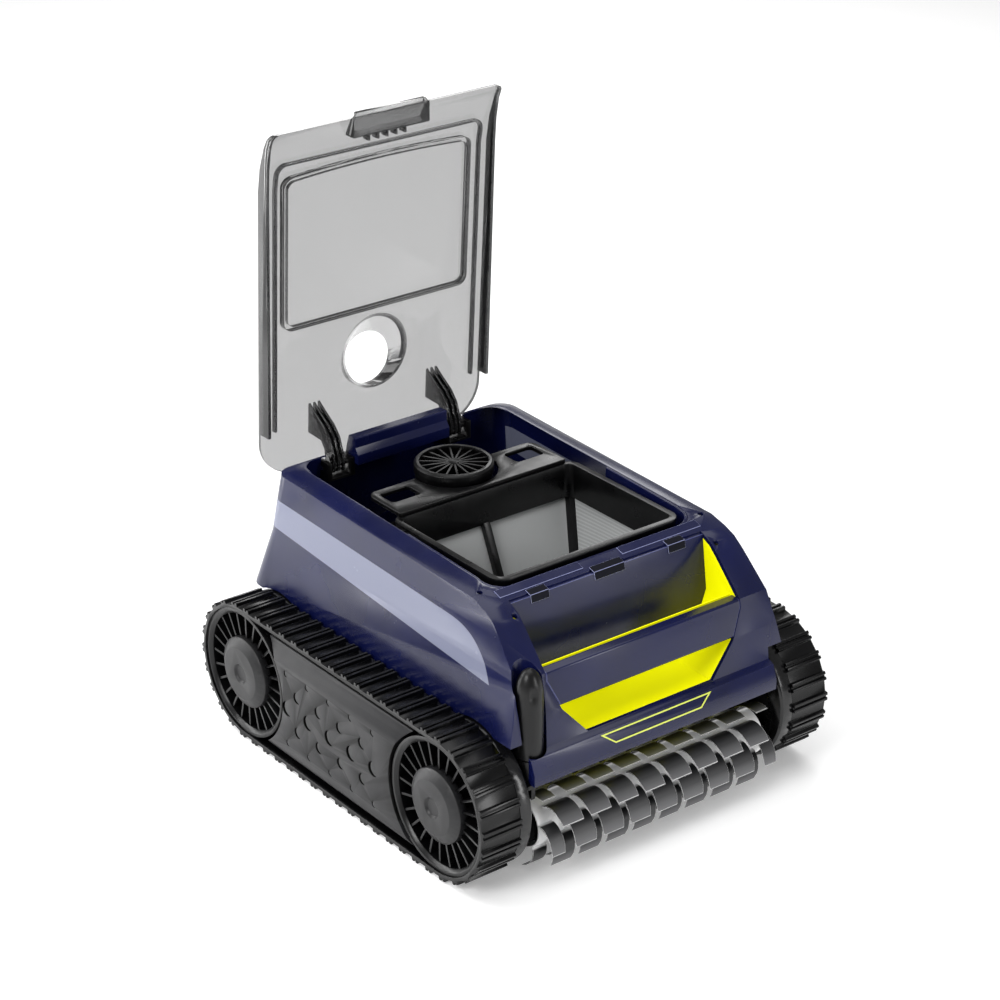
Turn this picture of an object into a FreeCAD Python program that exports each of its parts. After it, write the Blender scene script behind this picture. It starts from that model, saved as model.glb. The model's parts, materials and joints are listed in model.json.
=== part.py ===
"""Cordless pool cleaner: tracked drive, two brushes, lift-out filter and hinged lid.

Frame: +Z up, front (brush and carry handle) towards -Y, left track at -X.
Origin: middle of the footprint on the floor.  Units: millimetres, degrees.
The lid is modelled open, standing behind the body.
"""
import FreeCAD, Part
import math
import os

V = FreeCAD.Vector
os.makedirs("parts", exist_ok=True)

# ---------------------------------------------------------------- driving dimensions
# clearances
run_gap = 0.3            # between pieces that move past each other
shaft_gap = 0.1          # radial, bore round a turning shaft
wall = 3.0               # moulded wall of the shell

# tracks
wheelbase = 296.0
rim_r = 63.0             # wheel rim, the belt runs on it
belt_base = 3.5          # belt thickness between ribs
rib_h = 3.2              # rib height over the belt
rib_w = 9.0              # rib length along the belt, with a groove in the middle
rib_groove = 1.8
rib_count = 52
belt_w = 41.0
track_face = 197.0       # outer face of belt and side cover from the middle
ring_w = 13.0            # drive ring on the inner side of each wheel
ring_r = 67.0
fin_count = 24
hub_cap_r = 34.6
hub_cap_proud = 3.0
axle_r = 6.0
cover_low, cover_high = 13.0, 124.0
cover_fold = 108.0       # height where the cover leans inward
cover_lean = 7.0
cover_gap = 3.2          # dark gap between cover and wheel

# gear drive
pinion_teeth, gear_teeth = 12, 48
gear_module = 2.0
gear_w = 8.0

# shell: half width and rear edge at each height
body_rows = [            # height at the middle, half width, rear edge, rise towards the rear
    (134.0, 154.0, 199.0, 0.0),
    (189.0, 141.0, 187.0, 0.0),
    (217.0, 137.5, 184.0, 0.0),
    (241.5, 134.0, 180.0, 0.025),
    (246.0, 115.5, 171.0, 0.03),
]
rear_rise = 262.0        # top of the rear wall between the hinges
rear_corner_r = 18.0
front_corner_r = 8.0
front_line = [           # y, z of the nose seen from the side
    (-60.0, 250.0), (-118.0, 239.6), (-139.7, 233.3), (-151.0, 227.7),
    (-159.3, 219.8), (-189.0, 187.6), (-195.5, 155.6), (-199.5, 123.0),
    (-206.0, 120.0), (-211.0, 107.0),
]
apron_low = 97.0
apron_half = 138.0
rear_apron = 203.0
arch_gap = 2.5           # shell to the drive rings

# opening under the lid and the filter bay below it
bay_half, bay_front, bay_rear = 112.0, -121.0, 158.0
bay_corner_r = 18.0
bay_wall = 2.5
bay_step = 46.0          # the deep part ends here
bay_shelf = 212.0        # floor of the rear part
bay_floor = 112.0        # floor of the deep part

# chassis
chassis_half, chassis_len = 136.0, 272.0
chassis_low, chassis_high = 20.0, 130.0
deck_t = 4.0
belly_t = 4.0
cheek_t = 4.0

# brushes
brush_y, brush_z = 184.0, 46.0
brush_r = 44.5
brush_half = 130.0
core_r = 17.0
flap_rows = 10
flap_w, flap_t, flap_pitch = 21.0, 4.0, 30.5
brush_axle_r = 4.0

# suction inlet
inlet_half, inlet_len, inlet_y = 60.0, 44.0, -35.0

# filter basket
basket_half, basket_front, basket_rear = 104.0, -117.0, 40.5
basket_top, basket_bottom = 242.0, 118.0
taper_side, taper_front, taper_rear = 22.0, 12.0, 40.0   # from the band down to the base
basket_band = 34.0       # solid band under the rim, above the cloth
upright = 7.0
post_in, cloth_in, cloth_t = 0.2, 0.5, 1.0   # outer faces of uprights and cloth, from the rim
ear_in, ear_out, ear_rear = 48.0, 95.0, 88.0
ear_t = 4.0

# pump and outlet
outlet_y = 83.0
grille_r, grille_top = 37.0, 255.0
duct_r, duct_wall = 33.0, 2.5
spoke_count = 18
impeller_r = 27.0
block_half, block_front, block_rear = 58.0, 52.0, 128.0
block_low, block_high = 28.0, 182.0

# front pocket and carry handle
pocket_line = [(108.0, 240.0), (110.0, 180.0), (97.0, 152.0), (71.0, 123.0)]
pocket_wall = 2.5
pocket_back = -136.0
handle_profile = [(-189.1, 187.6), (-195.5, 155.6), (-186.0, 152.0), (-178.0, 158.0),
                  (-176.6, 184.0), (-179.5, 188.6)]

# charging plug cap in the left front corner
plug_x, plug_y = -128.5, -191.0
plug_r = 12.5
plug_low, plug_joint, plug_high = 96.5, 116.0, 201.0
plug_bore_r = 8.0

# lid, standing open
pivot_y, pivot_z = 176.0, 236.0
lid_t = 3.5
lid_half, lid_low, lid_high = 127.5, 222.0, 565.5
lid_line = [             # y, z of its inner face and depth of its edge flange
    (213.0, 222.0, 14.0), (195.0, 508.0, 10.0), (190.5, 532.0, 7.5), (183.0, 552.0, 4.0),
    (172.0, 571.0, 1.0),
]
lid_corner_r = 38.0
window_half, window_low, window_high, window_bow = 104.0, 368.0, 517.0, 4.0
port_r, port_throat_r, port_wall = 37.0, 25.5, 2.5
port_near_y, port_far_y = 204.5, 221.0
port_ring_z, port_throat_z = 324.0, 312.0
seal_half, seal_high, seal_low = 115.0, 534.0, 270.0
grip_half, grip_shelf, grip_top, grip_t = 42.0, 548.0, 571.0, 2.5
hinge_x = 68.0
arm_t, arm_pitch = 2.5, 5.2
hinge_pin_r = 2.5
notch_half = 15.0

# fasteners
screw_head_r = 3.0

# ---------------------------------------------------------------- derived places
wheel_z = rim_r + run_gap + belt_base + rib_h
belt_in = rim_r + run_gap
belt_out = belt_in + belt_base
wheel_y = wheelbase / 2
belt_inner_x = track_face - belt_w
ring_outer_x = belt_inner_x - run_gap
ring_inner_x = ring_outer_x - ring_w
gear_pitch_r = gear_module * gear_teeth / 2
pinion_pitch_r = gear_module * pinion_teeth / 2
pinion_y = wheel_y - (gear_pitch_r - pinion_pitch_r)
arch_r = ring_r + arch_gap
cheek_x = apron_half - cheek_t - 0.5     # inner face of the arms that hold the brushes
SIDES = {"left": -1, "right": 1}


# ---------------------------------------------------------------- helpers
def box(x0, x1, y0, y1, z0, z1):
    return Part.makeBox(x1 - x0, y1 - y0, z1 - z0, V(x0, y0, z0))


def rod_x(r, x0, x1, y, z):
    return Part.makeCylinder(r, x1 - x0, V(x0, y, z), V(1, 0, 0))


def rod_z(r, z0, z1, x, y):
    return Part.makeCylinder(r, z1 - z0, V(x, y, z0), V(0, 0, 1))


def polygon(points):
    return Part.makePolygon(points + [points[0]])


def prism_x(yz, x0, x1):
    """Extrude a side-view outline across the body."""
    return Part.Face(polygon([V(x0, y, z) for y, z in yz])).extrude(V(x1 - x0, 0, 0))


def prism_y(xz, y0, y1):
    """Extrude a front-view outline along the body."""
    return Part.Face(polygon([V(x, y0, z) for x, z in xz])).extrude(V(0, y1 - y0, 0))


def round_rect(x0, x1, y0, y1, z, r0, r1):
    """Plan outline with corner radius r0 at the front and r1 at the rear."""
    def arc(cx, cy, r, start):
        a, b, c = (math.radians(start + k) for k in (0, 45, 90))
        spot = [V(cx + r * math.cos(t), cy + r * math.sin(t), z) for t in (a, b, c)]
        return Part.Arc(*spot).toShape()
    arcs = [arc(x1 - r1, y1 - r1, r1, 0), arc(x0 + r1, y1 - r1, r1, 90),
            arc(x0 + r0, y0 + r0, r0, 180), arc(x1 - r0, y0 + r0, r0, 270)]
    edges = []
    for k, here in enumerate(arcs):
        ahead = arcs[(k + 1) % 4]
        edges += [here, Part.makeLine(here.Vertexes[-1].Point, ahead.Vertexes[0].Point)]
    return Part.Wire(edges)


def round_block(x0, x1, y0, y1, z0, z1, r0, r1=None):
    outline = round_rect(x0, x1, y0, y1, z0, r0, r0 if r1 is None else r1)
    return Part.Face(outline).extrude(V(0, 0, z1 - z0))


def turn_x(rx, y, z):
    """Solid of revolution about X from (radius, x) points."""
    outline = polygon([V(x, y, z + r) for r, x in rx])
    return Part.Face(outline).revolve(V(0, y, z), V(1, 0, 0), 360)


def turn_z(rz, x, y):
    outline = polygon([V(x + r, y, z) for r, z in rz])
    return Part.Face(outline).revolve(V(x, y, 0), V(0, 0, 1), 360)


def mirror_x(shape):
    return shape.mirror(V(0, 0, 0), V(1, 0, 0))


def mirror_y(shape):
    return shape.mirror(V(0, 0, 0), V(0, 1, 0))


def both_sides(shape):
    return [shape, mirror_x(shape)]


def four_corners(shape):
    return both_sides(shape) + both_sides(mirror_y(shape))


def cut(shape, *tools):
    return shape.cut(Part.makeCompound(list(tools)))


def join(*shapes):
    fused = shapes[0].multiFuse(list(shapes[1:])) if len(shapes) > 1 else shapes[0]
    return fused.removeSplitter()


def save(name, *solids):
    shape = solids[0] if len(solids) == 1 else Part.makeCompound(list(solids))
    assert shape.isValid(), name
    shape.exportStep("parts/" + name + ".step")


# ---------------------------------------------------------------- body shell
def tilted(shape, slope):
    """Lean a level outline so that it rises by slope for each millimetre towards the rear."""
    lean = FreeCAD.Matrix()
    lean.A32 = slope
    return shape.transformGeometry(lean) if slope else shape


def rim_z(y):
    """Height of the shell's rim."""
    z, _, _, slope = body_rows[-1]
    return z + slope * y


def body_block(inset):
    """Outer form of the shell, or the same form a wall thickness smaller."""
    wires = []
    for z, half, rear, tilt in body_rows:
        wires.append(tilted(round_rect(-half + inset, half - inset, -230 + inset, rear - inset,
                                       z, front_corner_r, rear_corner_r - inset), tilt))
    upper = Part.makeLoft(wires, True, True)
    apron = round_block(-apron_half + inset, apron_half - inset, -230 + inset,
                        rear_apron - inset, apron_low, body_rows[0][0], front_corner_r, 20)
    nose = [(y + inset, z - inset) for y, z in front_line]
    top, rear = 264.0 - inset, 240.0
    outline = nose + [(front_line[-1][0] + inset, apron_low), (rear, apron_low), (rear, top)]
    return prism_x(outline, -170, 170).common(upper.fuse(apron))


def wheel_arches():
    """Room over each drive ring, outside the chassis."""
    arch = rod_x(arch_r, chassis_half + 5, 200, wheel_y, wheel_z)
    return four_corners(arch)


def pocket_block(inset, back):
    """Front pocket as a solid, inset by the liner wall."""
    half = [(x - inset, z) for x, z in pocket_line]
    half[-1] = (half[-1][0], half[-1][1] + inset)
    half[-2] = (half[-2][0], half[-2][1] + inset / 2)
    return prism_y(half + [(-x, z) for x, z in reversed(half)], -230, back)


def liner_room():
    """Outer form of the pocket liner, behind the wall of the nose."""
    return pocket_block(-pocket_wall, pocket_back).common(nose_solid(wall + run_gap))


def hinge_notches():
    notch = box(hinge_x - notch_half, hinge_x + notch_half, 140, 195, pivot_z - 11, 266)
    return both_sides(notch)


def upper_shell():
    plug_room = rod_z(plug_r + run_gap + 2.2, apron_low - 1, 252, plug_x, plug_y)
    plug_wall = rod_z(plug_r + run_gap + 2.2 + wall, apron_low - 1, 252, plug_x, plug_y)
    inner = body_block(wall).cut(plug_wall)
    inner = inner.fuse(round_block(-bay_half - bay_wall, bay_half + bay_wall,
                                   bay_front - bay_wall, bay_rear + bay_wall,
                                   200, 270, bay_corner_r))
    latch_slots = [box(-19, 19, -141, -135, 222, 236)]
    latch_slots += both_sides(box(67.5, 88, -142, -135.5, 224, 236))
    screw_holes = both_sides(rod_z(2.6, 228, 250, 124.4, -118)) \
        + both_sides(rod_z(2.6, 218, 240, 113.2, -151))
    front, back = bay_rear + bay_wall, body_rows[3][2]
    rise = prism_x([(front, 236), (back, 240), (back - 0.5, 248), (back - 5, rear_rise),
                    (front + 5, rear_rise), (front + 4, rear_rise - 1),
                    (front + 4, rear_rise - 10), (front, rear_rise - 16)],
                   -hinge_x + notch_half, hinge_x - notch_half)
    outer = body_block(0).fuse(rise)
    seat = chassis_len / 2 + run_gap
    tub_room = box(-170, 170, -seat, seat, apron_low - 1, body_rows[0][0])
    inner = inner.cut(rise)
    return cut(outer, inner, plug_room, pocket_block(0, pocket_back), liner_room(), tub_room,
               *hinge_notches(), *wheel_arches(), *latch_slots, *screw_holes)


def filter_bay():
    def tub(grow, drop):
        rear = round_block(-bay_half - grow, bay_half + grow, bay_front - grow,
                           bay_rear + grow, bay_shelf - drop, 270.0, bay_corner_r)
        deep = round_block(-bay_half - grow, bay_half + grow, bay_front - grow,
                           bay_step + grow, bay_floor - drop, bay_shelf + 1, bay_corner_r)
        return rear.fuse(deep)
    outer = tub(bay_wall, bay_wall).common(prism_x(
        [(-200, 90), (200, 90), (200, rim_z(200) - 0.2), (-200, rim_z(-200) - 0.2)],
        -170, 170)).common(nose_solid(0.2))
    inlet = box(-inlet_half, inlet_half, inlet_y - inlet_len / 2, inlet_y + inlet_len / 2,
                bay_floor - 5, bay_floor + 1)
    outlet = rod_z(duct_r + 0.2, bay_shelf - 5, bay_shelf + 1, 0, outlet_y)
    return cut(outer, tub(0, 0), inlet, outlet, *hinge_notches())


# ---------------------------------------------------------------- chassis
def chassis():
    tub = box(-chassis_half, chassis_half, -chassis_len / 2, chassis_len / 2,
              chassis_low, chassis_high)
    hollow = box(-chassis_half + wall, chassis_half - wall, -chassis_len / 2 + wall,
                 chassis_len / 2 - wall, chassis_low + wall, chassis_high + 1)
    deck_half = body_rows[0][1] - wall - 0.5
    deck = box(-deck_half, deck_half, -chassis_len / 2, chassis_len / 2, chassis_high,
               chassis_high + deck_t)
    deck = cut(deck, *wheel_arches(),
               box(-chassis_half + wall, chassis_half - wall, -133, 133, 120, 140))
    arm = prism_x([(-130, 40), (-130, 96), (-176, 96), (-176, 70), (-brush_y - 9, brush_z + 9),
                   (-brush_y - 9, brush_z - 9), (-brush_y + 9, brush_z - 9), (-150, 30)],
                  cheek_x, cheek_x + cheek_t)
    arm = arm.cut(rod_x(brush_axle_r + 3, cheek_x - 1, cheek_x + 6, -brush_y, brush_z))
    ledge = box(plug_x - plug_r, plug_x + plug_r, -206, -172, plug_low - 4, plug_low)
    ledge_foot = box(-cheek_x - cheek_t, -cheek_x, -206, -168, plug_low - 14, plug_low)
    bridge = four_corners(box(chassis_half - 1, cheek_x + cheek_t, 120, 135.5, 40, 96))
    inlet = box(-inlet_half - 3, inlet_half + 3, inlet_y - inlet_len / 2 - 3,
                inlet_y + inlet_len / 2 + 3, chassis_low - 1, chassis_low + 5)
    axle_bores = four_corners(rod_x(axle_r, 120, 140, wheel_y, wheel_z))
    shaft_bores = both_sides(rod_x(4 + shaft_gap, 120, 140, pinion_y, wheel_z))
    arms = four_corners(arm)
    return cut(join(tub.cut(hollow), deck, ledge, ledge_foot, *arms, *bridge),
               inlet, *axle_bores, *shaft_bores, *belly_screws())


def belly_plate():
    plate = round_block(-chassis_half + 8, chassis_half - 8, -chassis_len / 2 + 8,
                        chassis_len / 2 - 8, chassis_low - belly_t, chassis_low, 12)
    inlet = box(-inlet_half, inlet_half, inlet_y - inlet_len / 2, inlet_y + inlet_len / 2,
                chassis_low - belly_t - 1, chassis_low + 1)
    return cut(plate, inlet, *belly_screws())


def inlet_duct():
    outer = box(-inlet_half - 3, inlet_half + 3, inlet_y - inlet_len / 2 - 3,
                inlet_y + inlet_len / 2 + 3, chassis_low, bay_floor - bay_wall)
    inner = box(-inlet_half, inlet_half, inlet_y - inlet_len / 2, inlet_y + inlet_len / 2,
                chassis_low - 1, bay_floor)
    return outer.cut(inner)


def inlet_flap():
    """Non-return flap over the suction mouth, hinged at its rear edge."""
    rear = inlet_y + inlet_len / 2 - 4
    plate = box(-inlet_half + 1, inlet_half - 1, inlet_y - inlet_len / 2 + 1, rear,
                bay_floor - 8, bay_floor - 6)
    knuckle = rod_x(2.5, -inlet_half + 1, inlet_half - 1, rear, bay_floor - 7)
    return join(plate, knuckle)


# ---------------------------------------------------------------- tracks
def belt_point(s, h):
    """Point at arc length s round the belt and height h over its base."""
    run, bend = wheelbase, math.pi * belt_out
    s = s % (2 * (run + bend))
    r = belt_out + h
    if s < run:
        return -wheel_y + s, wheel_z - r
    if s < run + bend:
        a = (s - run) / belt_out - math.pi / 2
        return wheel_y + r * math.cos(a), wheel_z + r * math.sin(a)
    if s < 2 * run + bend:
        return wheel_y - (s - run - bend), wheel_z + r
    a = (s - 2 * run - bend) / belt_out + math.pi / 2
    return -wheel_y + r * math.cos(a), wheel_z + r * math.sin(a)


def track_belt():
    """Closed belt with twin-ridge ribs across its whole width."""
    pitch = 2 * (wheelbase + math.pi * belt_out) / rib_count
    half, slot = rib_w / 2, rib_groove / 2
    ridge = [(-half, 0), (-half + 0.6, rib_h), (-slot - 0.3, rib_h), (-slot, 1.2),
             (slot, 1.2), (slot + 0.3, rib_h), (half - 0.6, rib_h), (half, 0)]
    outline = [belt_point((k + 0.5) * pitch + s, h)
               for k in range(rib_count) for s, h in ridge]
    outer = prism_x(outline, belt_inner_x, track_face)
    inner = join(rod_x(belt_in, belt_inner_x - 1, track_face + 1, -wheel_y, wheel_z),
                 rod_x(belt_in, belt_inner_x - 1, track_face + 1, wheel_y, wheel_z),
                 box(belt_inner_x - 1, track_face + 1, -wheel_y, wheel_y,
                     wheel_z - belt_in, wheel_z + belt_in))
    return outer.cut(inner)


def wheel(y):
    """Spoked wheel: rim, thin web, hub and stiffening fins on the outer side."""
    x0, x1, web = ring_outer_x, track_face - 1.5, ring_outer_x + 16
    bore = axle_r + shaft_gap
    body = turn_x([(bore, x0 + 4), (14, x0 + 4), (14, web), (rim_r - 6, web), (rim_r - 5, x0),
                   (rim_r, x0), (rim_r, x1), (rim_r - 3, x1), (rim_r - 6, x1 - 3),
                   (rim_r - 6, web + 4), (hub_cap_r - 4, web + 4), (hub_cap_r - 4, x1 - 8),
                   (bore, x1 - 8)], y, wheel_z)
    fin = box(web + 2, x1 - 4, -1.1, 1.1, hub_cap_r + 0.5, rim_r - 4)
    fins = []
    for k in range(fin_count):
        one = fin.copy()
        one.rotate(V(0, 0, 0), V(1, 0, 0), 360.0 * k / fin_count)
        one.translate(V(0, y, wheel_z))
        fins.append(one)
    return join(body, *fins)


def hub_cap(y):
    x0, x1 = track_face - 9.5, track_face + hub_cap_proud
    return turn_x([(0, x0), (hub_cap_r, x0), (hub_cap_r, x1 - 5), (hub_cap_r - 9, x1),
                   (10, x1), (8, x1 - 2.5), (0, x1 - 2.5)], y, wheel_z)


def gear_points(teeth, low_r, high_r, low_w, high_w, phase):
    """Straight-sided teeth between two radii; widths are measured along the circle."""
    points = []
    for k in range(teeth):
        mid = 2 * math.pi * (k + phase) / teeth
        for r, w in ((low_r, -low_w), (high_r, -high_w), (high_r, high_w), (low_r, low_w)):
            a = mid + w / 2 / r
            points.append((r * math.cos(a), r * math.sin(a)))
    return points


def drive_ring(y):
    """Ring on the inner side of a wheel, with gear teeth inside it."""
    x0, x1 = ring_inner_x, ring_outer_x
    body = turn_x([(54, x0), (ring_r - 2, x0), (ring_r, x0 + 2), (ring_r, x1), (rim_r - 8, x1),
                   (rim_r - 8, x1 - 3), (54, x1 - 3)], y, wheel_z)
    collar = turn_x([(48, x0), (54.5, x0), (54.5, x0 + gear_w), (48, x0 + gear_w)], y, wheel_z)
    tooth_space = prism_x([(y + a, wheel_z + b) for a, b in
                           gear_points(gear_teeth, 46.4, 50.3, 4.6, 3.2, 0.0)],
                          x0 - 1, x0 + gear_w + 1)
    return join(body, collar.cut(tooth_space))


def pinion(y):
    x0 = ring_inner_x
    teeth = prism_x([(y + a, wheel_z + b) for a, b in
                     gear_points(pinion_teeth, 9.8, 13.3, 3.2, 1.3, 0.0)],
                    x0, x0 + gear_w)
    shaft = rod_x(4, chassis_half - 12, x0 + gear_w, y, wheel_z)
    return join(teeth, shaft)


def axles():
    """Stub axles fixed in the chassis arms, each with a collar on the wheel side."""
    head = track_face - 9.5 - 1.0
    pair = []
    for y in (-wheel_y, wheel_y):
        rod = rod_x(axle_r, cheek_x, head, y, wheel_z)
        collar = rod_x(axle_r + 4, cheek_x + cheek_t, cheek_x + cheek_t + 4, y, wheel_z)
        pair.append(join(rod, collar))
    return pair


def track_frame():
    """Beam between the wheels that carries the side cover and guides the belt."""
    x0, x1 = belt_inner_x + 1, track_face - 8
    gap_r = rim_r + cover_gap
    beam = box(x0, x1, -wheel_y + 20, wheel_y - 20, cover_low + 2, cover_high)
    lights = [box(x0 - 1, x1 + 1, y, y + 50, 42, 97) for y in (-55, 5)]
    roots = [box(chassis_half, x0 + 2, -50, 50, z, z + 14) for z in (24, 102)]
    return join(cut(beam, *lights, *[rod_x(gap_r, x0 - 1, x1 + 1, y, wheel_z)
                                     for y in (-wheel_y, wheel_y)]), *roots)


def side_cover():
    """Moulded cover between the wheels with staggered crescent slots."""
    x0, x1 = track_face - 8, track_face
    skin = prism_y([(x0, cover_low), (x1 - 3, cover_low), (x1, cover_low + 5),
                    (x1, cover_fold), (x1 - cover_lean, cover_high), (x0, cover_high)],
                   -wheel_y + 20, wheel_y - 20)
    hollow = prism_y([(x0 - 1, cover_low + 3), (x1 - 3, cover_low + 5), (x1 - 3, cover_fold - 2),
                      (x0 - 1, cover_fold + 8)], -wheel_y + 85, wheel_y - 85)
    gap_r = rim_r + cover_gap
    mid_z, row_pitch, column_pitch, hole_y = 65.0, 18.0, 33.5, 8.0
    slots = []
    for row, radius in enumerate((3.2, 5.6, 7.4, 5.6, 3.2)):
        z = mid_z + (2 - row) * row_pitch
        shift = 0.0 if row % 2 == 0 else column_pitch / 2
        for column in range(-2, 3 - row % 2):
            y = hole_y + column * column_pitch + shift
            disc = rod_x(radius, x0 - 1, x1 + 1, y, z)
            slots.append(disc.cut(rod_x(radius, x0 - 2, x1 + 2, y - radius * 0.5,
                                        z + radius * 0.25)))
    return cut(skin, hollow, *slots, *[rod_x(gap_r, x0 - 1, x1 + 1, y, wheel_z)
                                       for y in (-wheel_y, wheel_y)])


# ---------------------------------------------------------------- brushes
def brush_core():
    """Roller with stub ends that turn in the chassis arms."""
    roller = rod_x(core_r, -brush_half, brush_half, -brush_y, brush_z)
    end = cheek_x + cheek_t
    return join(roller, rod_x(brush_axle_r, -end, end, -brush_y, brush_z))


def brush_flaps():
    """Rows of bent rubber flaps round the roller, alternate rows staggered."""
    grip, mid, tip = core_r, core_r + 12, brush_r
    flaps = []
    for row in range(flap_rows):
        shift = 0.0 if row % 2 == 0 else flap_pitch / 2
        for column in range(-4, 5 - row % 2):
            x = column * flap_pitch + shift
            half = min(flap_w / 2, brush_half - abs(x))
            half_t = flap_t / 2
            side = [(-half_t, grip - 2), (-half_t, mid), (2, tip - 3), (4.5, tip - 1.5),
                    (flap_t + 2, tip - 6), (half_t, mid), (half_t, grip - 2)]
            flap = prism_x(side, x - half, x + half)
            flap.rotate(V(0, 0, 0), V(1, 0, 0), 360.0 * row / flap_rows)
            flap.translate(V(0, -brush_y, brush_z))
            flaps.append(flap)
    sleeve = cut(rod_x(core_r + 1.5, -brush_half, brush_half, -brush_y, brush_z),
                 rod_x(core_r, -brush_half - 1, brush_half + 1, -brush_y, brush_z))
    core = rod_x(core_r, -brush_half - 1, brush_half + 1, -brush_y, brush_z)
    return join(sleeve, *[flap.cut(core) for flap in flaps])


def brush_bushes():
    bush = cut(rod_x(brush_axle_r + 3, cheek_x, cheek_x + cheek_t, -brush_y, brush_z),
               rod_x(brush_axle_r + shaft_gap, cheek_x - 1, cheek_x + 6, -brush_y, brush_z))
    return four_corners(bush)


# ---------------------------------------------------------------- filter basket
def basket_frame():
    """Moulded cage: rim, tapered uprights and a base with the suction opening."""
    def ring(outer, inner, z0, z1):
        out = round_block(-basket_half + outer, basket_half - outer, basket_front + outer,
                          basket_rear - outer, z0, z1, 14 - outer)
        return out.cut(round_block(-basket_half + inner, basket_half - inner,
                                   basket_front + inner, basket_rear - inner,
                                   z0 - 1, z1 + 1, max(14 - inner, 2)))
    rim = ring(0, 6, basket_top - 4, basket_top)
    band = ring(cloth_in, 6, basket_top - basket_band, basket_top)
    half, front, rear = (basket_half - taper_side, basket_front + taper_front,
                         basket_rear - taper_rear)
    base = round_block(-half, half, front, rear, basket_bottom, basket_bottom + 4, 10)
    mouth = box(-inlet_half - 2, inlet_half + 2, inlet_y - inlet_len / 2 - 2,
                inlet_y + inlet_len / 2 + 2, basket_bottom - 1, basket_bottom + 5)
    step = post_in + upright / 2
    posts = []
    for sx in (-1, 0, 1):
        for edge, lean, inward in ((basket_front, taper_front, 1),
                                   (basket_rear, taper_rear, -1)):
            top = V(sx * (basket_half - step), edge + inward * step,
                    basket_top - basket_band + 2)
            foot = V(top.x - sx * taper_side, top.y + inward * lean, basket_bottom + 2)
            posts.append(leaning_post(top, foot, upright))
    return join(rim, band, base.cut(mouth), *posts)


def leaning_post(top, foot, size):
    def square(p):
        h = size / 2
        return polygon([p + V(-h, -h, 0), p + V(h, -h, 0), p + V(h, h, 0), p + V(-h, h, 0)])
    return Part.makeLoft([square(foot), square(top)], True, True)


def basket_mesh():
    """Filter cloth panels moulded into the uprights, one between each pair."""
    def cup(inset, z0, z1):
        half = basket_half - taper_side - inset
        low = round_rect(-half, half, basket_front + taper_front + inset,
                         basket_rear - taper_rear - inset, z0, 8, 8)
        high = round_rect(-basket_half + inset, basket_half - inset, basket_front + inset,
                          basket_rear - inset, z1, 8, 8)
        return Part.makeLoft([low, high], True, True)
    z0, z1 = basket_bottom + 4, basket_top - basket_band
    cloth = cup(cloth_in, z0, z1).cut(cup(cloth_in + cloth_t, z0 - 0.01, z1 + 0.01))
    return cloth.cut(basket_frame())


def basket_handle():
    """Flat handle plate behind the basket rim with two finger windows."""
    z0, z1 = basket_top, basket_top + ear_t
    plate = round_block(-ear_out, ear_out, basket_rear - 4, ear_rear, z0, z1, 2, 10)
    room = rod_z(grille_r + 4, z0 - 1, z1 + 1, 0, outlet_y)
    gap = box(-ear_in + 8, ear_in - 8, 70, 100, z0 - 1, z1 + 1)
    windows = both_sides(round_block(ear_in + 7, ear_out - 8, 58, ear_rear - 8,
                                     z0 - 1, z1 + 1, 4))
    return cut(plate, room, gap, *windows)


# ---------------------------------------------------------------- pump
def outlet_grille():
    rim = turn_z([(grille_r - 3, grille_top - 10), (grille_r, grille_top - 10),
                  (grille_r, grille_top - 2), (grille_r - 2, grille_top),
                  (grille_r - 5, grille_top), (grille_r - 5, grille_top - 4),
                  (grille_r - 3, grille_top - 6)], 0, outlet_y)
    hub = rod_z(5, grille_top - 4, grille_top - 1, 0, outlet_y)
    spokes = []
    for k in range(spoke_count):
        spoke = box(4, grille_r - 4, -0.9, 0.9, grille_top - 4, grille_top - 1.5)
        spoke.rotate(V(0, 0, 0), V(0, 0, 1), 360.0 * k / spoke_count)
        spoke.translate(V(0, outlet_y, 0))
        spokes.append(spoke)
    return join(rim, hub, *spokes)


def outlet_duct():
    top, shelf = grille_top - 10, bay_shelf + run_gap
    inner, collar = duct_r - duct_wall, grille_r - 1
    return turn_z([(inner, block_high + 4), (duct_r, block_high + 4), (duct_r, shelf),
                   (collar, shelf), (collar, top), (inner, top)], 0, outlet_y)


def impeller():
    """Axial pump wheel on the motor shaft."""
    low, high = block_high + 10, block_high + 24
    hub = rod_z(10, low, high, 0, outlet_y)
    blades = []
    for k in range(5):
        blade = box(8, impeller_r, -1.2, 1.2, -9, 9)
        blade.rotate(V(0, 0, 0), V(1, 0, 0), 50)
        blade.rotate(V(0, 0, 0), V(0, 0, 1), 72.0 * k)
        blade.translate(V(0, outlet_y, (low + high) / 2))
        blades.append(blade)
    shaft = rod_z(3, block_high - 30, high, 0, outlet_y)
    return join(hub, shaft, *blades)


def motor_block():
    outer = round_block(-block_half, block_half, block_front, block_rear, block_low,
                        block_high, 10)
    inner = round_block(-block_half + wall, block_half - wall, block_front + wall,
                        block_rear - wall, block_low + wall, block_high + 1, 8)
    feet = [box(x, x + 12, y, y + 12, chassis_low + wall, block_low)
            for x in (-block_half + 8, block_half - 20) for y in (block_front + 8, block_rear - 20)]
    return join(outer.cut(inner), *feet)


def motor_block_cover():
    plate = round_block(-block_half, block_half, block_front, block_rear, block_high,
                        block_high + 4, 10)
    return cut(plate, rod_z(3 + shaft_gap, block_high - 1, block_high + 5, 0, outlet_y),
               *cover_screws())


def pump_motor():
    can = rod_z(26, block_low + 40, block_high - 32, 0, outlet_y)
    nose = rod_z(10, block_high - 33, block_high - 26, 0, outlet_y)
    base = box(-30, 30, outlet_y - 28, outlet_y + 28, block_low + wall, block_low + 40)
    bore = rod_z(3 + shaft_gap, block_high - 31, block_high - 20, 0, outlet_y)
    return join(can, nose, base).cut(bore)


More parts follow.
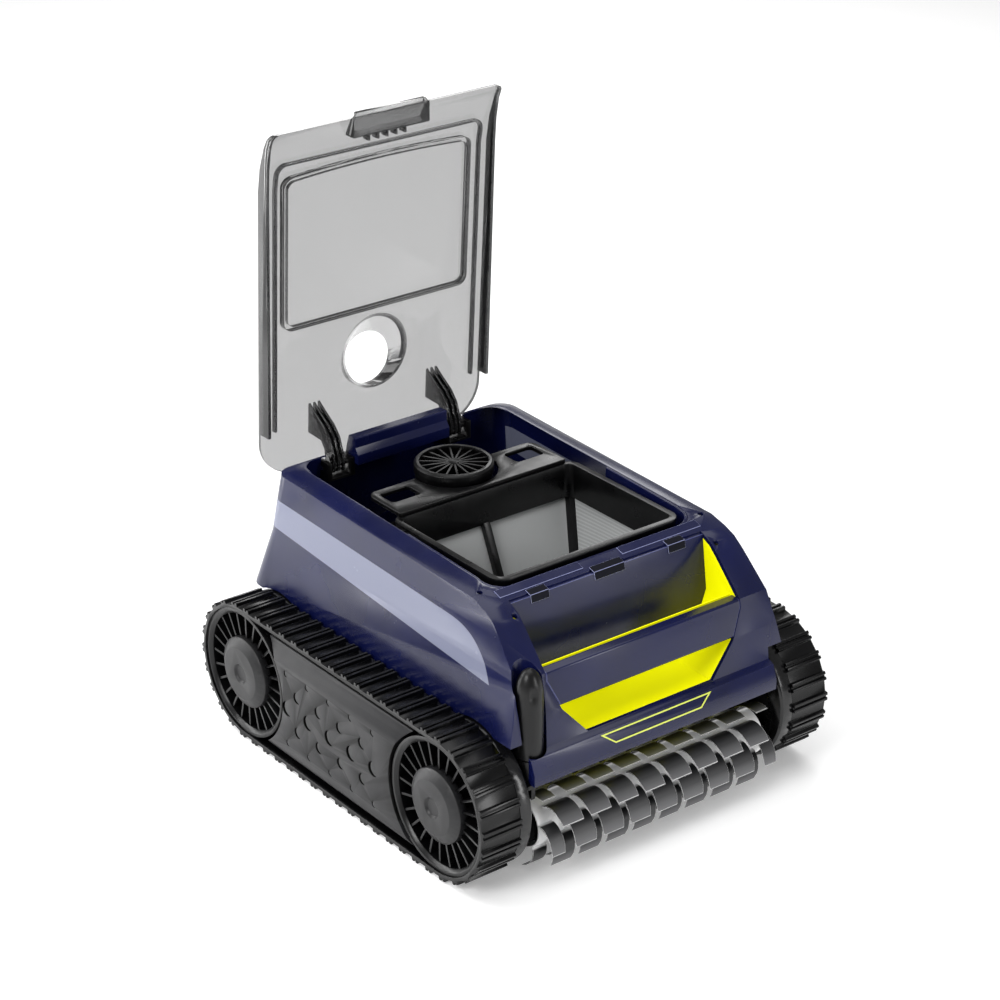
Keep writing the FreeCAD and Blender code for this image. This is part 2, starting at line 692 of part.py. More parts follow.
def traction_motor():
    can = rod_x(18, 70, chassis_half - 16, pinion_y, wheel_z)
    gearbox = rod_x(14, chassis_half - 17, chassis_half - wall, pinion_y, wheel_z)
    bore = rod_x(4 + shaft_gap, chassis_half - 12.5, chassis_half, pinion_y, wheel_z)
    foot = box(80, 108, pinion_y - 14, pinion_y + 14, chassis_low + wall, wheel_z - 12)
    return join(can, gearbox, foot).cut(bore)


# ---------------------------------------------------------------- front pocket
def nose_solid(inset):
    """Everything behind the nose line, moved back by an inset."""
    nose = [(y + inset, z - inset) for y, z in front_line]
    return prism_x(nose + [(nose[-1][0], 90), (0, 90), (0, 252 - inset)], -170, 170)


def scoop_liner():
    """Bright liner of the front pocket: floor, chamfers and both cheeks."""
    liner = cut(liner_room(), pocket_block(0, pocket_back + 1),
                box(-130, 130, -230, pocket_back + 1, rim_z(pocket_back) - wall, 270))
    return join(liner, handle_trim())


def front_wall():
    """Panel behind the handle: an upright strip, then a long leaning face."""
    top = front_line[2]
    side = [(top[0], top[1] - 0.5), (top[0] - 1.2, 220), (-150, 128), (-146, 127),
            (pocket_back - 1.5, 205), (pocket_back - 0.3, top[1] - 0.5)]
    panel = prism_x(side, -120, 120)
    return panel.common(pocket_block(0, 0))


def carry_handle():
    bar = prism_x(handle_profile, -120, 120)
    edges = [e for e in bar.Edges if abs(e.Vertexes[0].X - e.Vertexes[-1].X) > 100]
    bar = bar.makeFillet(2.5, edges)
    return bar.common(pocket_block(0, 0))


def handle_trim():
    """Thin bright strip that stands behind the handle and shows over it."""
    strip = box(-120, 120, -176.4, -175.2, 172, 187.8)
    return strip.common(pocket_block(-pocket_wall / 2, 0))


def badge_outline():
    """Plain raised outline with cut corners on the nose."""
    (y0, z0), (y1, z1) = front_line[-2], front_line[-1]
    slope = math.degrees(math.atan2(z0 - z1, y0 - y1))
    width, height, line, cut_in = 63.0, 11.0, 1.3, 14.0

    def loop(inset):
        h = height / 2 - inset
        slant = inset * math.hypot(1, cut_in / height)
        wide, narrow = (width - cut_in * (height / 2 - z) / height - slant for z in (h, -h))
        return [(-wide, h), (wide, h), (narrow, -h), (-narrow, -h)]
    ring = prism_y(loop(0), -0.6, 0.0).cut(prism_y(loop(line), -1, 1))
    ring.rotate(V(0, 0, 0), V(1, 0, 0), slope - 90)
    ring.translate(V(0, (y0 + y1) / 2, (z0 + z1) / 2))
    return ring


def charge_socket():
    base = rod_z(plug_r, plug_low, plug_joint, plug_x, plug_y)
    pin = rod_z(plug_bore_r, plug_joint - 1, plug_joint + 34, plug_x, plug_y)
    return join(base, pin)


def charge_cap():
    """Pull-off cap with an oblique domed top."""
    low = plug_joint + run_gap
    body = rod_z(plug_r, low, plug_high - 16, plug_x, plug_y)
    dome = Part.makeSphere(plug_r, V(plug_x, plug_y, plug_high - 16))
    dome = dome.common(rod_z(plug_r, plug_high - 16.5, plug_high, plug_x, plug_y))
    slant = box(-40, 40, -60, 0, 0, 40)
    slant.rotate(V(0, 0, 0), V(1, 0, 0), -58)
    slant.translate(V(plug_x, plug_y - plug_r + 1, plug_high - 34))
    bore = rod_z(plug_bore_r + run_gap, low - 1, plug_joint + 35, plug_x, plug_y)
    return cut(join(body, dome), bore, slant)


# ---------------------------------------------------------------- lid
def lid_skin(near, far, half):
    """Slab along the bent lid, between two distances behind its inner face."""
    front = [(y + near, z) for y, z, _ in lid_line]
    back = [(y + far, z) for y, z, _ in reversed(lid_line)]
    return prism_x(front + back, -half, half)


def lid_face_y(z):
    """Place of the lid's inner face at a height below its bend."""
    (y0, z0, _), (y1, z1, _) = lid_line[:2]
    return y0 + (y1 - y0) * (z - z0) / (z1 - z0)


def stand_up(outline):
    """Turn a flat outline drawn in x and y into a deep block with y as its height."""
    solid = Part.Face(outline).extrude(V(0, 0, 90))
    solid.rotate(V(0, 0, 0), V(1, 0, 0), 90)
    solid.translate(V(0, 240, 0))
    return solid


def lid_outline(inset):
    half = lid_half - inset
    return stand_up(round_rect(-half, half, lid_low + inset, lid_high, 0, lid_corner_r, 6))


def window_block(inset):
    """Window form: straight sides, a top edge bowed upwards and rounded corners."""
    half, low, high = window_half - inset, window_low + inset, window_high - inset
    crown = Part.Arc(V(half, high, 0), V(0, high + window_bow, 0), V(-half, high, 0)).toShape()
    corners = [V(-half, high, 0), V(-half, low, 0), V(half, low, 0), V(half, high, 0)]
    edges = [crown] + [Part.makeLine(a, b) for a, b in zip(corners, corners[1:])]
    solid = stand_up(Part.Wire(edges))
    upright_edges = [e for e in solid.Edges if abs(e.Vertexes[0].Y - e.Vertexes[-1].Y) > 80]
    return solid.makeFillet(10 - inset / 2, upright_edges)


def port_cone(grow, y0, y1):
    """Oblique funnel: a large ring on the lid and a smaller, lower throat behind it."""
    def circle(y):
        share = (y - port_near_y) / (port_far_y - port_near_y)
        z = port_ring_z + share * (port_throat_z - port_ring_z)
        radius = port_r + (port_throat_r + port_wall - port_r) * share + grow
        return Part.Wire(Part.makeCircle(radius, V(0, y, z), V(0, 1, 0)))
    return Part.makeLoft([circle(y0), circle(y1)], True)


def lid_panel():
    sheet = lid_skin(0, lid_t, lid_half).common(lid_outline(0))
    flange = prism_x([(y - depth, z) for y, z, depth in lid_line]
                     + [(y + 1, z) for y, z, _ in reversed(lid_line)], -lid_half, lid_half)
    flange = flange.common(lid_outline(0).cut(lid_outline(3)))
    flange = flange.cut(box(-lid_half - 1, lid_half + 1, 150, 230, 200, seal_low))
    return cut(join(sheet, flange), port_cone(0, port_near_y - 4, port_far_y), window_block(0))


def lid_window():
    """Clear pane with a thick bevelled border."""
    border = window_block(0).cut(window_block(4)).common(lid_skin(-4, lid_t, lid_half))
    pane = window_block(3.5).common(lid_skin(1, 3, lid_half))
    return join(border, pane)


def lid_port():
    hollow = port_cone(-port_wall, port_near_y - 2, port_far_y + 2)
    return port_cone(0, port_near_y, port_far_y).cut(hollow)


def lid_seal():
    """Rounded rib round the inside of the lid, open at its lower end."""
    def block(inset):
        half = seal_half - inset
        return stand_up(round_rect(-half, half, seal_low - 20, seal_high - inset, 0,
                                   5, 12 - inset))
    rib = block(0).cut(block(3)).common(lid_skin(-5, 0, lid_half))
    return rib.cut(box(-lid_half, lid_half, 150, 230, 200, seal_low))


def lid_grip():
    """Finger shelf near the top of the lid: front panel, shelf, two gussets and five fins."""
    y0, y1 = lid_line[-1][0] - 1, 200
    wedge = [(y0, grip_shelf), (y0, grip_top - 3), (y1, grip_shelf)]
    panel = prism_y([(-grip_half, grip_shelf), (grip_half, grip_shelf), (grip_half, 566),
                     (grip_half - 4, grip_top), (-grip_half + 4, grip_top),
                     (-grip_half, 566)], y0, y0 + grip_t)
    crown = box(-grip_half + 4, grip_half - 4, y0, y0 + 5, lid_high, grip_top)
    shelf = box(-grip_half, grip_half, y0, y1, grip_shelf, grip_shelf + grip_t)
    gussets = [prism_x(wedge, x, x + grip_t) for x in (-grip_half, grip_half - grip_t)]
    fins = [box(x - 1, x + 1, 178, 200, grip_shelf - 8, grip_shelf + 0.5)
            for x in range(-20, 21, 10)]
    lid_room = lid_skin(0, 60, grip_half + 20).common(
        box(-80, 80, 150, 260, 500, lid_high))
    return cut(join(panel, crown, shelf, *gussets, *fins), lid_room)


def hinge_arms():
    """Three gooseneck ribs for each hinge, from the lid down to the pin."""
    top, low = 288, 258
    side = [(lid_face_y(top), top), (lid_face_y(low), low), (190, low - 1), (184.5, 250),
            (183, 236), (180.5, 230.5), (176, 229), (171, 230.5), (169, 236), (171, 248),
            (176, 262), (185, 272), (199, 281)]
    arms = []
    for k in (-1, 0, 1):
        x = hinge_x + k * arm_pitch
        rib = prism_x(side, x - arm_t / 2, x + arm_t / 2)
        arms.append(rib.cut(rod_x(hinge_pin_r + shaft_gap, x - 3, x + 3, pivot_y, pivot_z)))
    return [arm for rib in arms for arm in both_sides(rib)]


def hinge_brackets():
    """U-shaped bracket in each notch of the rear wall."""
    x0, x1 = hinge_x - notch_half, hinge_x + notch_half
    low = pivot_z - 11
    front, rear = pivot_y - 10, pivot_y + 8
    base = box(x0, x1, front, rear, low, low + 2.2)
    cheeks = [box(a, a + 4.5, front, rear - 2, low, pivot_z + 7) for a in (x0, x1 - 4.5)]
    bracket = join(base, *cheeks).cut(rod_x(hinge_pin_r, x0 - 1, x1 + 1, pivot_y, pivot_z))
    return both_sides(bracket)


def hinge_pins():
    return both_sides(rod_x(hinge_pin_r, hinge_x - notch_half, hinge_x + notch_half,
                            pivot_y, pivot_z))


# ---------------------------------------------------------------- small parts
def screw_z(x, y, top, length, up=True):
    """Pan-head screw; the head lies above its seat, or below it when up is False."""
    step = 1 if up else -1
    head = rod_z(screw_head_r, min(top, top + step * 1.6), max(top, top + step * 1.6), x, y)
    low, high = sorted((top, top - step * length))
    return join(head, rod_z(1.3, low, high, x, y))


def belly_screws():
    spots = [(sx * (chassis_half - 16), sy * (chassis_len / 2 - 16))
             for sx in (-1, 1) for sy in (-1, 1)]
    return [screw_z(x, y, chassis_low - belly_t, 6, up=False) for x, y in spots]


def cover_screws():
    spots = [(sx * (block_half - 8), y) for sx in (-1, 1)
             for y in (block_front + 8, block_rear - 8)]
    return [screw_z(x, y, block_high + 4, 3.5) for x, y in spots]


def write_parts():
    save("upper_shell", upper_shell())
    save("filter_bay", filter_bay())
    save("chassis_tub", chassis())
    save("belly_plate", belly_plate())
    save("inlet_duct", inlet_duct())
    save("inlet_flap", inlet_flap())
    save("scoop_liner", scoop_liner())
    save("front_wall", front_wall())
    save("carry_handle", carry_handle())
    save("badge_outline", badge_outline())
    save("charge_socket", charge_socket())
    save("charge_cap", charge_cap())

    belt, frame, cover = track_belt(), track_frame(), side_cover()
    for side, sign in SIDES.items():
        def placed(shape):
            return shape if sign > 0 else mirror_x(shape)
        save("track_belt_" + side, placed(belt))
        save("track_frame_" + side, placed(frame))
        save("side_cover_" + side, placed(cover))
        save("drive_pinion_" + side, placed(pinion(pinion_y)))
        save("traction_motor_" + side, placed(traction_motor()))
        for end, y in (("front", -wheel_y), ("rear", wheel_y)):
            tag = end + "_" + side
            save("wheel_" + tag, placed(wheel(y)))
            save("hub_cap_" + tag, placed(hub_cap(y)))
            save("drive_ring_" + tag, placed(drive_ring(y)))

    save("axles", *[a for one in axles() for a in both_sides(one)])
    core, flaps = brush_core(), brush_flaps()
    save("front_brush_core", core)
    save("front_brush_flaps", flaps)
    save("rear_brush_core", mirror_y(core))
    save("rear_brush_flaps", mirror_y(flaps))
    save("brush_bushes", *brush_bushes())

    save("basket_frame", basket_frame())
    save("basket_mesh", basket_mesh())
    save("basket_handle", basket_handle())

    save("outlet_grille", outlet_grille())
    save("outlet_duct", outlet_duct())
    save("impeller", impeller())
    save("motor_block", motor_block())
    save("motor_block_cover", motor_block_cover())
    save("pump_motor", pump_motor())
    save("battery_pack", round_block(-95, 95, -128, -78, chassis_low + wall, 84, 6))
    save("control_board", box(-70, 70, -126, -80, 90, 92))

    save("lid_panel", lid_panel())
    save("lid_window", lid_window())
    save("lid_port", lid_port())
    save("lid_seal", lid_seal())
    save("lid_grip", lid_grip())
    save("hinge_arms", *hinge_arms())
    save("hinge_brackets", *hinge_brackets())
    save("hinge_pins", *hinge_pins())
    save("screws", *belly_screws(), *cover_screws())


write_parts()
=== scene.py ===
# %% [markdown]
# # Cordless pool cleaner, open for emptying
#
# A tracked pool cleaner is mostly injection moulding: a glossy shell, matt side covers,
# rubber belts and a clear smoked lid. The sizes and joints come from the engineering
# model, which is loaded as a fixed frame. This script gives every piece its finish, and
# rebuilds the pieces whose looks depend on soft edges, thin ribs or woven cloth.

# %% Load the frame
import json
import math
import bmesh
import bpy
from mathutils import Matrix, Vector


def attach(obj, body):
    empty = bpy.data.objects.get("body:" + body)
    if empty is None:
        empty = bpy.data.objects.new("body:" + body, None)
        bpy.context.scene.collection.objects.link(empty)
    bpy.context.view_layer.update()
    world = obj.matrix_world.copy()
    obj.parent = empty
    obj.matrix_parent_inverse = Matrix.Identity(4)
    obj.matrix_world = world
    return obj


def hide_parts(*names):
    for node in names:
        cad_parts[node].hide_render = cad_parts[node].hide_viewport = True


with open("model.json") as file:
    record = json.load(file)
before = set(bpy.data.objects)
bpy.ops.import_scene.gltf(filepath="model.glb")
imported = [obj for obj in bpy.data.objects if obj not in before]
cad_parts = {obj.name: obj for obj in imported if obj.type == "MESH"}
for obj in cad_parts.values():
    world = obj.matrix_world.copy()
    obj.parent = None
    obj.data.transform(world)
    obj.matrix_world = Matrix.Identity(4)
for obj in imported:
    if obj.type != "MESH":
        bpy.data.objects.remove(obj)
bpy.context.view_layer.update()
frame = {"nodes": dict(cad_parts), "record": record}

MM = 0.001

# %% [markdown]
# ## Camera, floor and light
#
# The view is a three-quarter view from the front left, a little above, with a long lens
# that keeps the sides nearly parallel. A pale seamless floor and large soft lamps are what
# a studio uses for glossy mouldings: each flat facet mirrors one lamp, so it reads as one
# clean tone, and the edges between facets show as thin bright lines.

# %% Camera
CAMERA_AT = Vector((-1.389, -1.7713, 1.3171))
LOOK_AT = Vector((0.0185, 0.0377, 0.2256))
camera_data = bpy.data.cameras.new("camera")
camera_data.lens = 99.9
camera_data.sensor_width = 36.0
camera = bpy.data.objects.new("camera", camera_data)
camera.location = CAMERA_AT
camera.rotation_euler = (LOOK_AT - CAMERA_AT).to_track_quat("-Z", "Y").to_euler()
bpy.context.scene.collection.objects.link(camera)
bpy.context.scene.camera = camera

# %% Colours and the node helper
def linear(hex_colour, alpha=1.0):
    """Turn an sRGB hex colour into the linear values that shaders use."""
    def channel(two):
        value = int(two, 16) / 255
        return value / 12.92 if value <= 0.04045 else ((value + 0.055) / 1.055) ** 2.4
    digits = hex_colour.lstrip("#")
    return tuple(channel(digits[i:i + 2]) for i in (0, 2, 4)) + (alpha,)


def add_node(tree, kind, settings=None, links=None):
    """Add one shader node, set its properties and sockets, and link what feeds it."""
    node = tree.nodes.new(kind)
    for key, value in (settings or {}).items():
        if key in node.inputs:
            node.inputs[key].default_value = value
        else:
            setattr(node, key, value)
    for key, source in (links or {}).items():
        tree.links.new(source, node.inputs[key])
    return node


def new_material(name, colour, roughness, **sockets):
    """A Principled material with constant values set straight on its sockets."""
    material = bpy.data.materials.new(name)
    material.use_nodes = True
    shader = material.node_tree.nodes["Principled BSDF"]
    shader.inputs["Base Color"].default_value = linear(colour)
    shader.inputs["Roughness"].default_value = roughness
    for key, value in sockets.items():
        shader.inputs[key].default_value = value
    return material, material.node_tree, shader

# %% Floor and lamps
def lamp(name, place, aim, size, power, colour="#ffffff"):
    """A rectangular soft lamp that faces a point."""
    data = bpy.data.lights.new(name, "AREA")
    data.shape = "RECTANGLE"
    data.size, data.size_y = size
    data.energy = power
    data.color = linear(colour)[:3]
    light = bpy.data.objects.new(name, data)
    light.location = place
    light.rotation_euler = (Vector(aim) - Vector(place)).to_track_quat("-Z", "Y").to_euler()
    bpy.context.scene.collection.objects.link(light)
    return light


floor_mesh = bpy.data.meshes.new("floor")
floor_shape = bmesh.new()
bmesh.ops.create_grid(floor_shape, x_segments=1, y_segments=1, size=12.0)
floor_shape.to_mesh(floor_mesh)
floor_shape.free()
floor = bpy.data.objects.new("floor", floor_mesh)
bpy.context.scene.collection.objects.link(floor)
floor_paint, _, floor_shader = new_material("pale_floor_paint", "#fafafa", 0.6)
# a little emission keeps the far floor pale, and lights the object's underside slightly
floor_shader.inputs["Emission Color"].default_value = linear("#ffffff")
floor_shader.inputs["Emission Strength"].default_value = 0.22
floor_mesh.materials.append(floor_paint)

world = bpy.data.worlds.new("studio")
world.use_nodes = True
world.node_tree.nodes["Background"].inputs["Color"].default_value = linear("#ffffff")
world.node_tree.nodes["Background"].inputs["Strength"].default_value = 0.3
bpy.context.scene.world = world
bpy.context.scene.view_settings.view_transform = "Standard"

MIDDLE = (0.0, 0.0, 0.2)
lamp("top_lamp", (0.1, 0.2, 2.6), (0.1, 0.2, 0.0), (2.6, 2.6), 38)
lamp("key_lamp", (-1.9, -0.5, 1.5), MIDDLE, (0.9, 0.9), 26)
lamp("front_lamp", (0.8, -2.3, 0.7), MIDDLE, (0.5, 1.3), 16)
lamp("far_left_lamp", (-1.3, 2.2, 1.9), MIDDLE, (1.6, 1.4), 24)
lamp("back_lamp", (1.6, 2.1, 1.35), MIDDLE, (1.6, 0.7), 15)
for place, width, power in (((-1.0, 0.75, 0.45), 0.10, 3.0), ((-0.75, 1.25, 0.45), 0.22, 5.0)):
    lamp("strip_lamp", place, (-0.15, 0.0, 0.15), (width, 0.8), power)

# %% [markdown]
# ## Finishes
#
# Every slot gets a procedural finish with its real material in mind. Mouldings are never
# perfectly even: the gloss of a polished tool wanders a little, and a spark-eroded tool
# leaves a fine grain. Both are noise patterns on object coordinates, with the size of the
# grain given in millimetres. The smoked lid is tinted polycarbonate. Light travels inside
# the sheet and is soaked up before it reaches an edge, so edges, ribs and flanges look
# nearly black while the flat faces look like pale grey glass. The finish does the same:
# it darkens and closes wherever the surface turns away from the sheet's own face.

# %% Patterns shared by the finishes
def grain(tree, size_mm, detail=3.0):
    """Noise on object coordinates whose lumps are about size_mm across."""
    place = add_node(tree, "ShaderNodeTexCoord")
    return add_node(tree, "ShaderNodeTexNoise",
                    {"Scale": 1.0 / (size_mm * MM), "Detail": detail},
                    {"Vector": place.outputs["Object"]})


def vary_roughness(tree, shader, low, high, size_mm):
    """Let the gloss wander between two roughness values."""
    noise = grain(tree, size_mm)
    spread = add_node(tree, "ShaderNodeMapRange",
                      {"From Min": 0.3, "From Max": 0.7, "To Min": low, "To Max": high},
                      {"Value": noise.outputs["Fac"]})
    tree.links.new(spread.outputs["Result"], shader.inputs["Roughness"])


def add_bump(tree, shader, size_mm, height_mm, strength=1.0):
    """A fine raised grain, with its lump size and its height in millimetres."""
    noise = grain(tree, size_mm)
    bump = add_node(tree, "ShaderNodeBump",
                    {"Strength": strength, "Distance": height_mm * MM},
                    {"Height": noise.outputs["Fac"]})
    tree.links.new(bump.outputs["Normal"], shader.inputs["Normal"])


def vary_colour(tree, shader, first, second, size_mm):
    """Let the colour drift between two close tones."""
    noise = grain(tree, size_mm, 2.0)
    tones = add_node(tree, "ShaderNodeValToRGB", {}, {"Fac": noise.outputs["Fac"]})
    tones.color_ramp.elements[0].position = 0.35
    tones.color_ramp.elements[1].position = 0.65
    tones.color_ramp.elements[0].color = linear(first)
    tones.color_ramp.elements[1].color = linear(second)
    tree.links.new(tones.outputs["Color"], shader.inputs["Base Color"])

# %% Moulded plastics and rubbers
def moulded(name, tones, gloss, grain_mm, height_mm, **sockets):
    """An opaque moulding: two close tones, a range of gloss, and a raised grain."""
    material, tree, shader = new_material(name, tones[0], gloss[0], **sockets)
    vary_colour(tree, shader, tones[0], tones[1], 60.0)
    vary_roughness(tree, shader, gloss[0], gloss[1], 25.0)
    add_bump(tree, shader, grain_mm, height_mm)
    return material


NAVY = ("#0a0f36", "#0d1340")
MATERIALS = {
    # polished navy ABS: clear deep gloss with a faint orange peel from the flow of the melt
    "navy_shell": moulded("navy_abs", NAVY, (0.2, 0.28), 6.0, 0.012,
                          **{"Specular IOR Level": 0.42}),
    # satin yellow ABS. A little emission, a painted glow, stands in for how bright the colour
    # reads
    "yellow_liner": moulded("yellow_abs", ("#fbf800", "#fffd00"), (0.4, 0.48), 1.2, 0.01,
                            **{"Specular IOR Level": 0.2, "Emission Strength": 0.3,
                               "Emission Color": linear("#f4f400")}),
    # black glass-filled plastic with a light tool grain
    "black_plastic": moulded("black_nylon", ("#040405", "#070708"), (0.25, 0.38), 1.0, 0.012,
                             **{"Specular IOR Level": 0.35}),
    # charcoal polypropylene with a spark-eroded grain of about half a millimetre
    "charcoal_cover": moulded("charcoal_polypropylene", ("#1a1a1b", "#202022"), (0.38, 0.5),
                              0.6, 0.03, **{"Specular IOR Level": 0.4}),
    # black belt rubber with a slight bloom
    "belt_rubber": moulded("belt_rubber", ("#020203", "#050506"), (0.2, 0.3), 1.5, 0.02,
                           **{"Specular IOR Level": 0.3}),
    # smoother black acetal for the gear rings
    "ring_plastic": moulded("ring_acetal", ("#0a0a0b", "#101012"), (0.16, 0.25), 2.0, 0.008),
    # grey silicone brush flaps
    "brush_rubber": moulded("brush_silicone", ("#3c3c3e", "#4c4c4e"), (0.35, 0.45), 1.5, 0.02),
    # green fibreglass board with solder mask
    "board": moulded("solder_mask", ("#174a2a", "#1f6137"), (0.3, 0.4), 0.8, 0.02),
    # blue shrink film round the cells
    "battery_wrap": moulded("shrink_film", ("#27548f", "#2f63a4"), (0.25, 0.35), 3.0, 0.02),
    # pale printed outline of the badge
    "badge_print": moulded("badge_ink", ("#dbe65c", "#e6f06c"), (0.35, 0.45), 1.0, 0.004),
}


def calc(tree, operation, *terms):
    """One Math node fed by numbers and sockets."""
    node = add_node(tree, "ShaderNodeMath", {"operation": operation})
    for index, term in enumerate(terms):
        if isinstance(term, (int, float)):
            node.inputs[index].default_value = term
        else:
            tree.links.new(term, node.inputs[index])
    return node.outputs["Value"]


def place_and_facing(tree):
    """X, Y and Z sockets of the place and of the direction that the surface faces."""
    source = add_node(tree, "ShaderNodeTexCoord")
    return [add_node(tree, "ShaderNodeSeparateXYZ", {}, {"Vector": source.outputs[key]}).outputs
            for key in ("Object", "Normal")]


def paint_over(tree, shader, mask, colour):
    """Cover the base colour with another where the mask is 1."""
    base = shader.inputs["Base Color"].links[0].from_socket
    mix = add_node(tree, "ShaderNodeMix", {"data_type": "RGBA"})
    factor, first, second, result = (mix.inputs[0], mix.inputs[6], mix.inputs[7],
                                     mix.outputs[2])     # the colour sockets of this node
    second.default_value = linear(colour)
    tree.links.new(mask, factor)
    tree.links.new(base, first)
    tree.links.new(result, shader.inputs["Base Color"])


CURVE_FROM, CURVE_LONG, CURVE_DEEP, CURVE_POWER = -0.084, 0.073, 0.038, 3.2
UPPER_AT, UPPER_SLOPE = 0.216, 0.03          # height at the middle, and rise per metre back
LOWER_AT, LOWER_SLOPE = 0.1835, 0.062


def shell_with_painted_reflection():
    """Navy ABS with a painted reflection: a pale grey-blue band along each side, ending in a
    crescent.

    The band is painted by height and length, so it stays put from every side. It stands in for a
    lamp mirrored in a polished facet of the real part, and not a finish."""
    material = moulded("navy_abs", NAVY, (0.2, 0.28), 6.0, 0.012, **{"Specular IOR Level": 0.42})
    tree = material.node_tree
    place, facing = place_and_facing(tree)
    along, height = place["Y"], place["Z"]
    ahead = calc(tree, "MAXIMUM", calc(tree, "SUBTRACT", CURVE_FROM, along), 0.0)
    share = calc(tree, "POWER", calc(tree, "DIVIDE", ahead, CURVE_LONG), CURVE_POWER)
    drop = calc(tree, "MULTIPLY", share, CURVE_DEEP)
    straight = calc(tree, "ADD", calc(tree, "MULTIPLY", along, UPPER_SLOPE), UPPER_AT)
    upper = calc(tree, "SUBTRACT", straight, drop)
    lower = calc(tree, "ADD", calc(tree, "MULTIPLY", along, LOWER_SLOPE), LOWER_AT)
    side = calc(tree, "GREATER_THAN", calc(tree, "ABSOLUTE", facing["X"]), 0.8)
    inside = calc(tree, "MULTIPLY", calc(tree, "LESS_THAN", height, upper),
                  calc(tree, "GREATER_THAN", height, lower))
    # painted reflection: a grey-blue band on the faces that face sideways
    paint_over(tree, tree.nodes["Principled BSDF"], calc(tree, "MULTIPLY", inside, side),
               "#777b90")
    return material


SHELL_WITH_PAINTED_REFLECTION = shell_with_painted_reflection()
# painted on the bevel faces in place of the highlights that a polished edge would catch
SHELL_EDGE_HIGHLIGHT = moulded("navy_painted_bevel_highlight", ("#3c4170", "#474c7c"), (0.18, 0.24), 6.0, 0.005)
FIELD_MIDDLE, FIELD_REACH = 0.068, 0.038     # heights of the crescents, between the chamfers


def cover_with_painted_crescent_shade():
    """Charcoal polypropylene, with painted shade: black wherever a crescent's surface leans, in
    place of the crescents' depth.
    """
    material = moulded("charcoal_cover", ("#1d1d1f", "#242426"), (0.38, 0.5), 0.6, 0.03,
                       **{"Specular IOR Level": 0.4})
    tree = material.node_tree
    place, facing = place_and_facing(tree)
    leaning = add_node(tree, "ShaderNodeMapRange",
                       {"From Min": 0.97, "From Max": 0.995, "To Min": 1.0, "To Max": 0.0},
                       {"Value": calc(tree, "ABSOLUTE", facing["X"])})
    field = calc(tree, "COMPARE", place["Z"], FIELD_MIDDLE, FIELD_REACH)
    # painted shade: near black on the leaning faces of the crescents
    paint_over(tree, tree.nodes["Principled BSDF"],
               calc(tree, "MULTIPLY", leaning.outputs["Result"], field), "#020202")
    return material


def metal(name, tones, gloss, streak_mm):
    """Bare metal whose gloss and tone follow fine turning marks."""
    material, tree, shader = new_material(name, tones[0], gloss[0], Metallic=1.0)
    vary_colour(tree, shader, tones[0], tones[1], streak_mm)
    vary_roughness(tree, shader, gloss[0], gloss[1], streak_mm)
    return material


MATERIALS["steel"] = metal("stainless_steel", ("#bcbcc0", "#d6d6da"), (0.2, 0.3), 1.2)
MATERIALS["motor_can"] = metal("zinc_plated_steel", ("#8a8c90", "#9c9ea4"), (0.28, 0.4), 4.0)
print("opaque finishes", sorted(MATERIALS))

# %% Smoked polycarbonate
def smoked(name, face_tint, cover, edge_from, edge_to, edge_tint="#0b0b0c", edge_cover=0.93):
    """Tinted clear plastic: pale and see-through on the face, nearly black along edges.

    The face is where the surface's own Y direction is large. cover is how much the face
    hides, and edge_from and edge_to are where the darkening ends and starts."""
    material, tree, shader = new_material(name, face_tint, 0.08, **{"IOR": 1.55})
    place = add_node(tree, "ShaderNodeTexCoord")
    axes = add_node(tree, "ShaderNodeSeparateXYZ", {}, {"Vector": place.outputs["Normal"]})
    facing = add_node(tree, "ShaderNodeMath", {"operation": "ABSOLUTE"},
                      {0: axes.outputs["Y"]})
    edge = add_node(tree, "ShaderNodeMapRange",
                    {"From Min": edge_from, "From Max": edge_to, "To Min": 1.0, "To Max": 0.0},
                    {"Value": facing.outputs["Value"]})
    tint = add_node(tree, "ShaderNodeValToRGB", {}, {"Fac": edge.outputs["Result"]})
    tint.color_ramp.elements[0].color = linear(face_tint)
    tint.color_ramp.elements[1].color = linear(edge_tint)
    hide = add_node(tree, "ShaderNodeMapRange", {"To Min": cover, "To Max": edge_cover},
                    {"Value": edge.outputs["Result"]})
    tree.links.new(tint.outputs["Color"], shader.inputs["Base Color"])
    tree.links.new(hide.outputs["Result"], shader.inputs["Alpha"])
    vary_roughness(tree, shader, 0.06, 0.12, 30.0)
    return material


MATERIALS["smoked_lid"] = smoked("smoked_polycarbonate", "#28282a", 0.41, 0.5, 0.86)
FUNNEL_SMOKE = smoked("smoked_funnel", "#4a4a4c", 0.36, 0.1, 0.45)
MATERIALS["seal_rubber"] = smoked("smoke_silicone", "#3c3c3e", 0.5, 0.1, 0.6, "#151516")
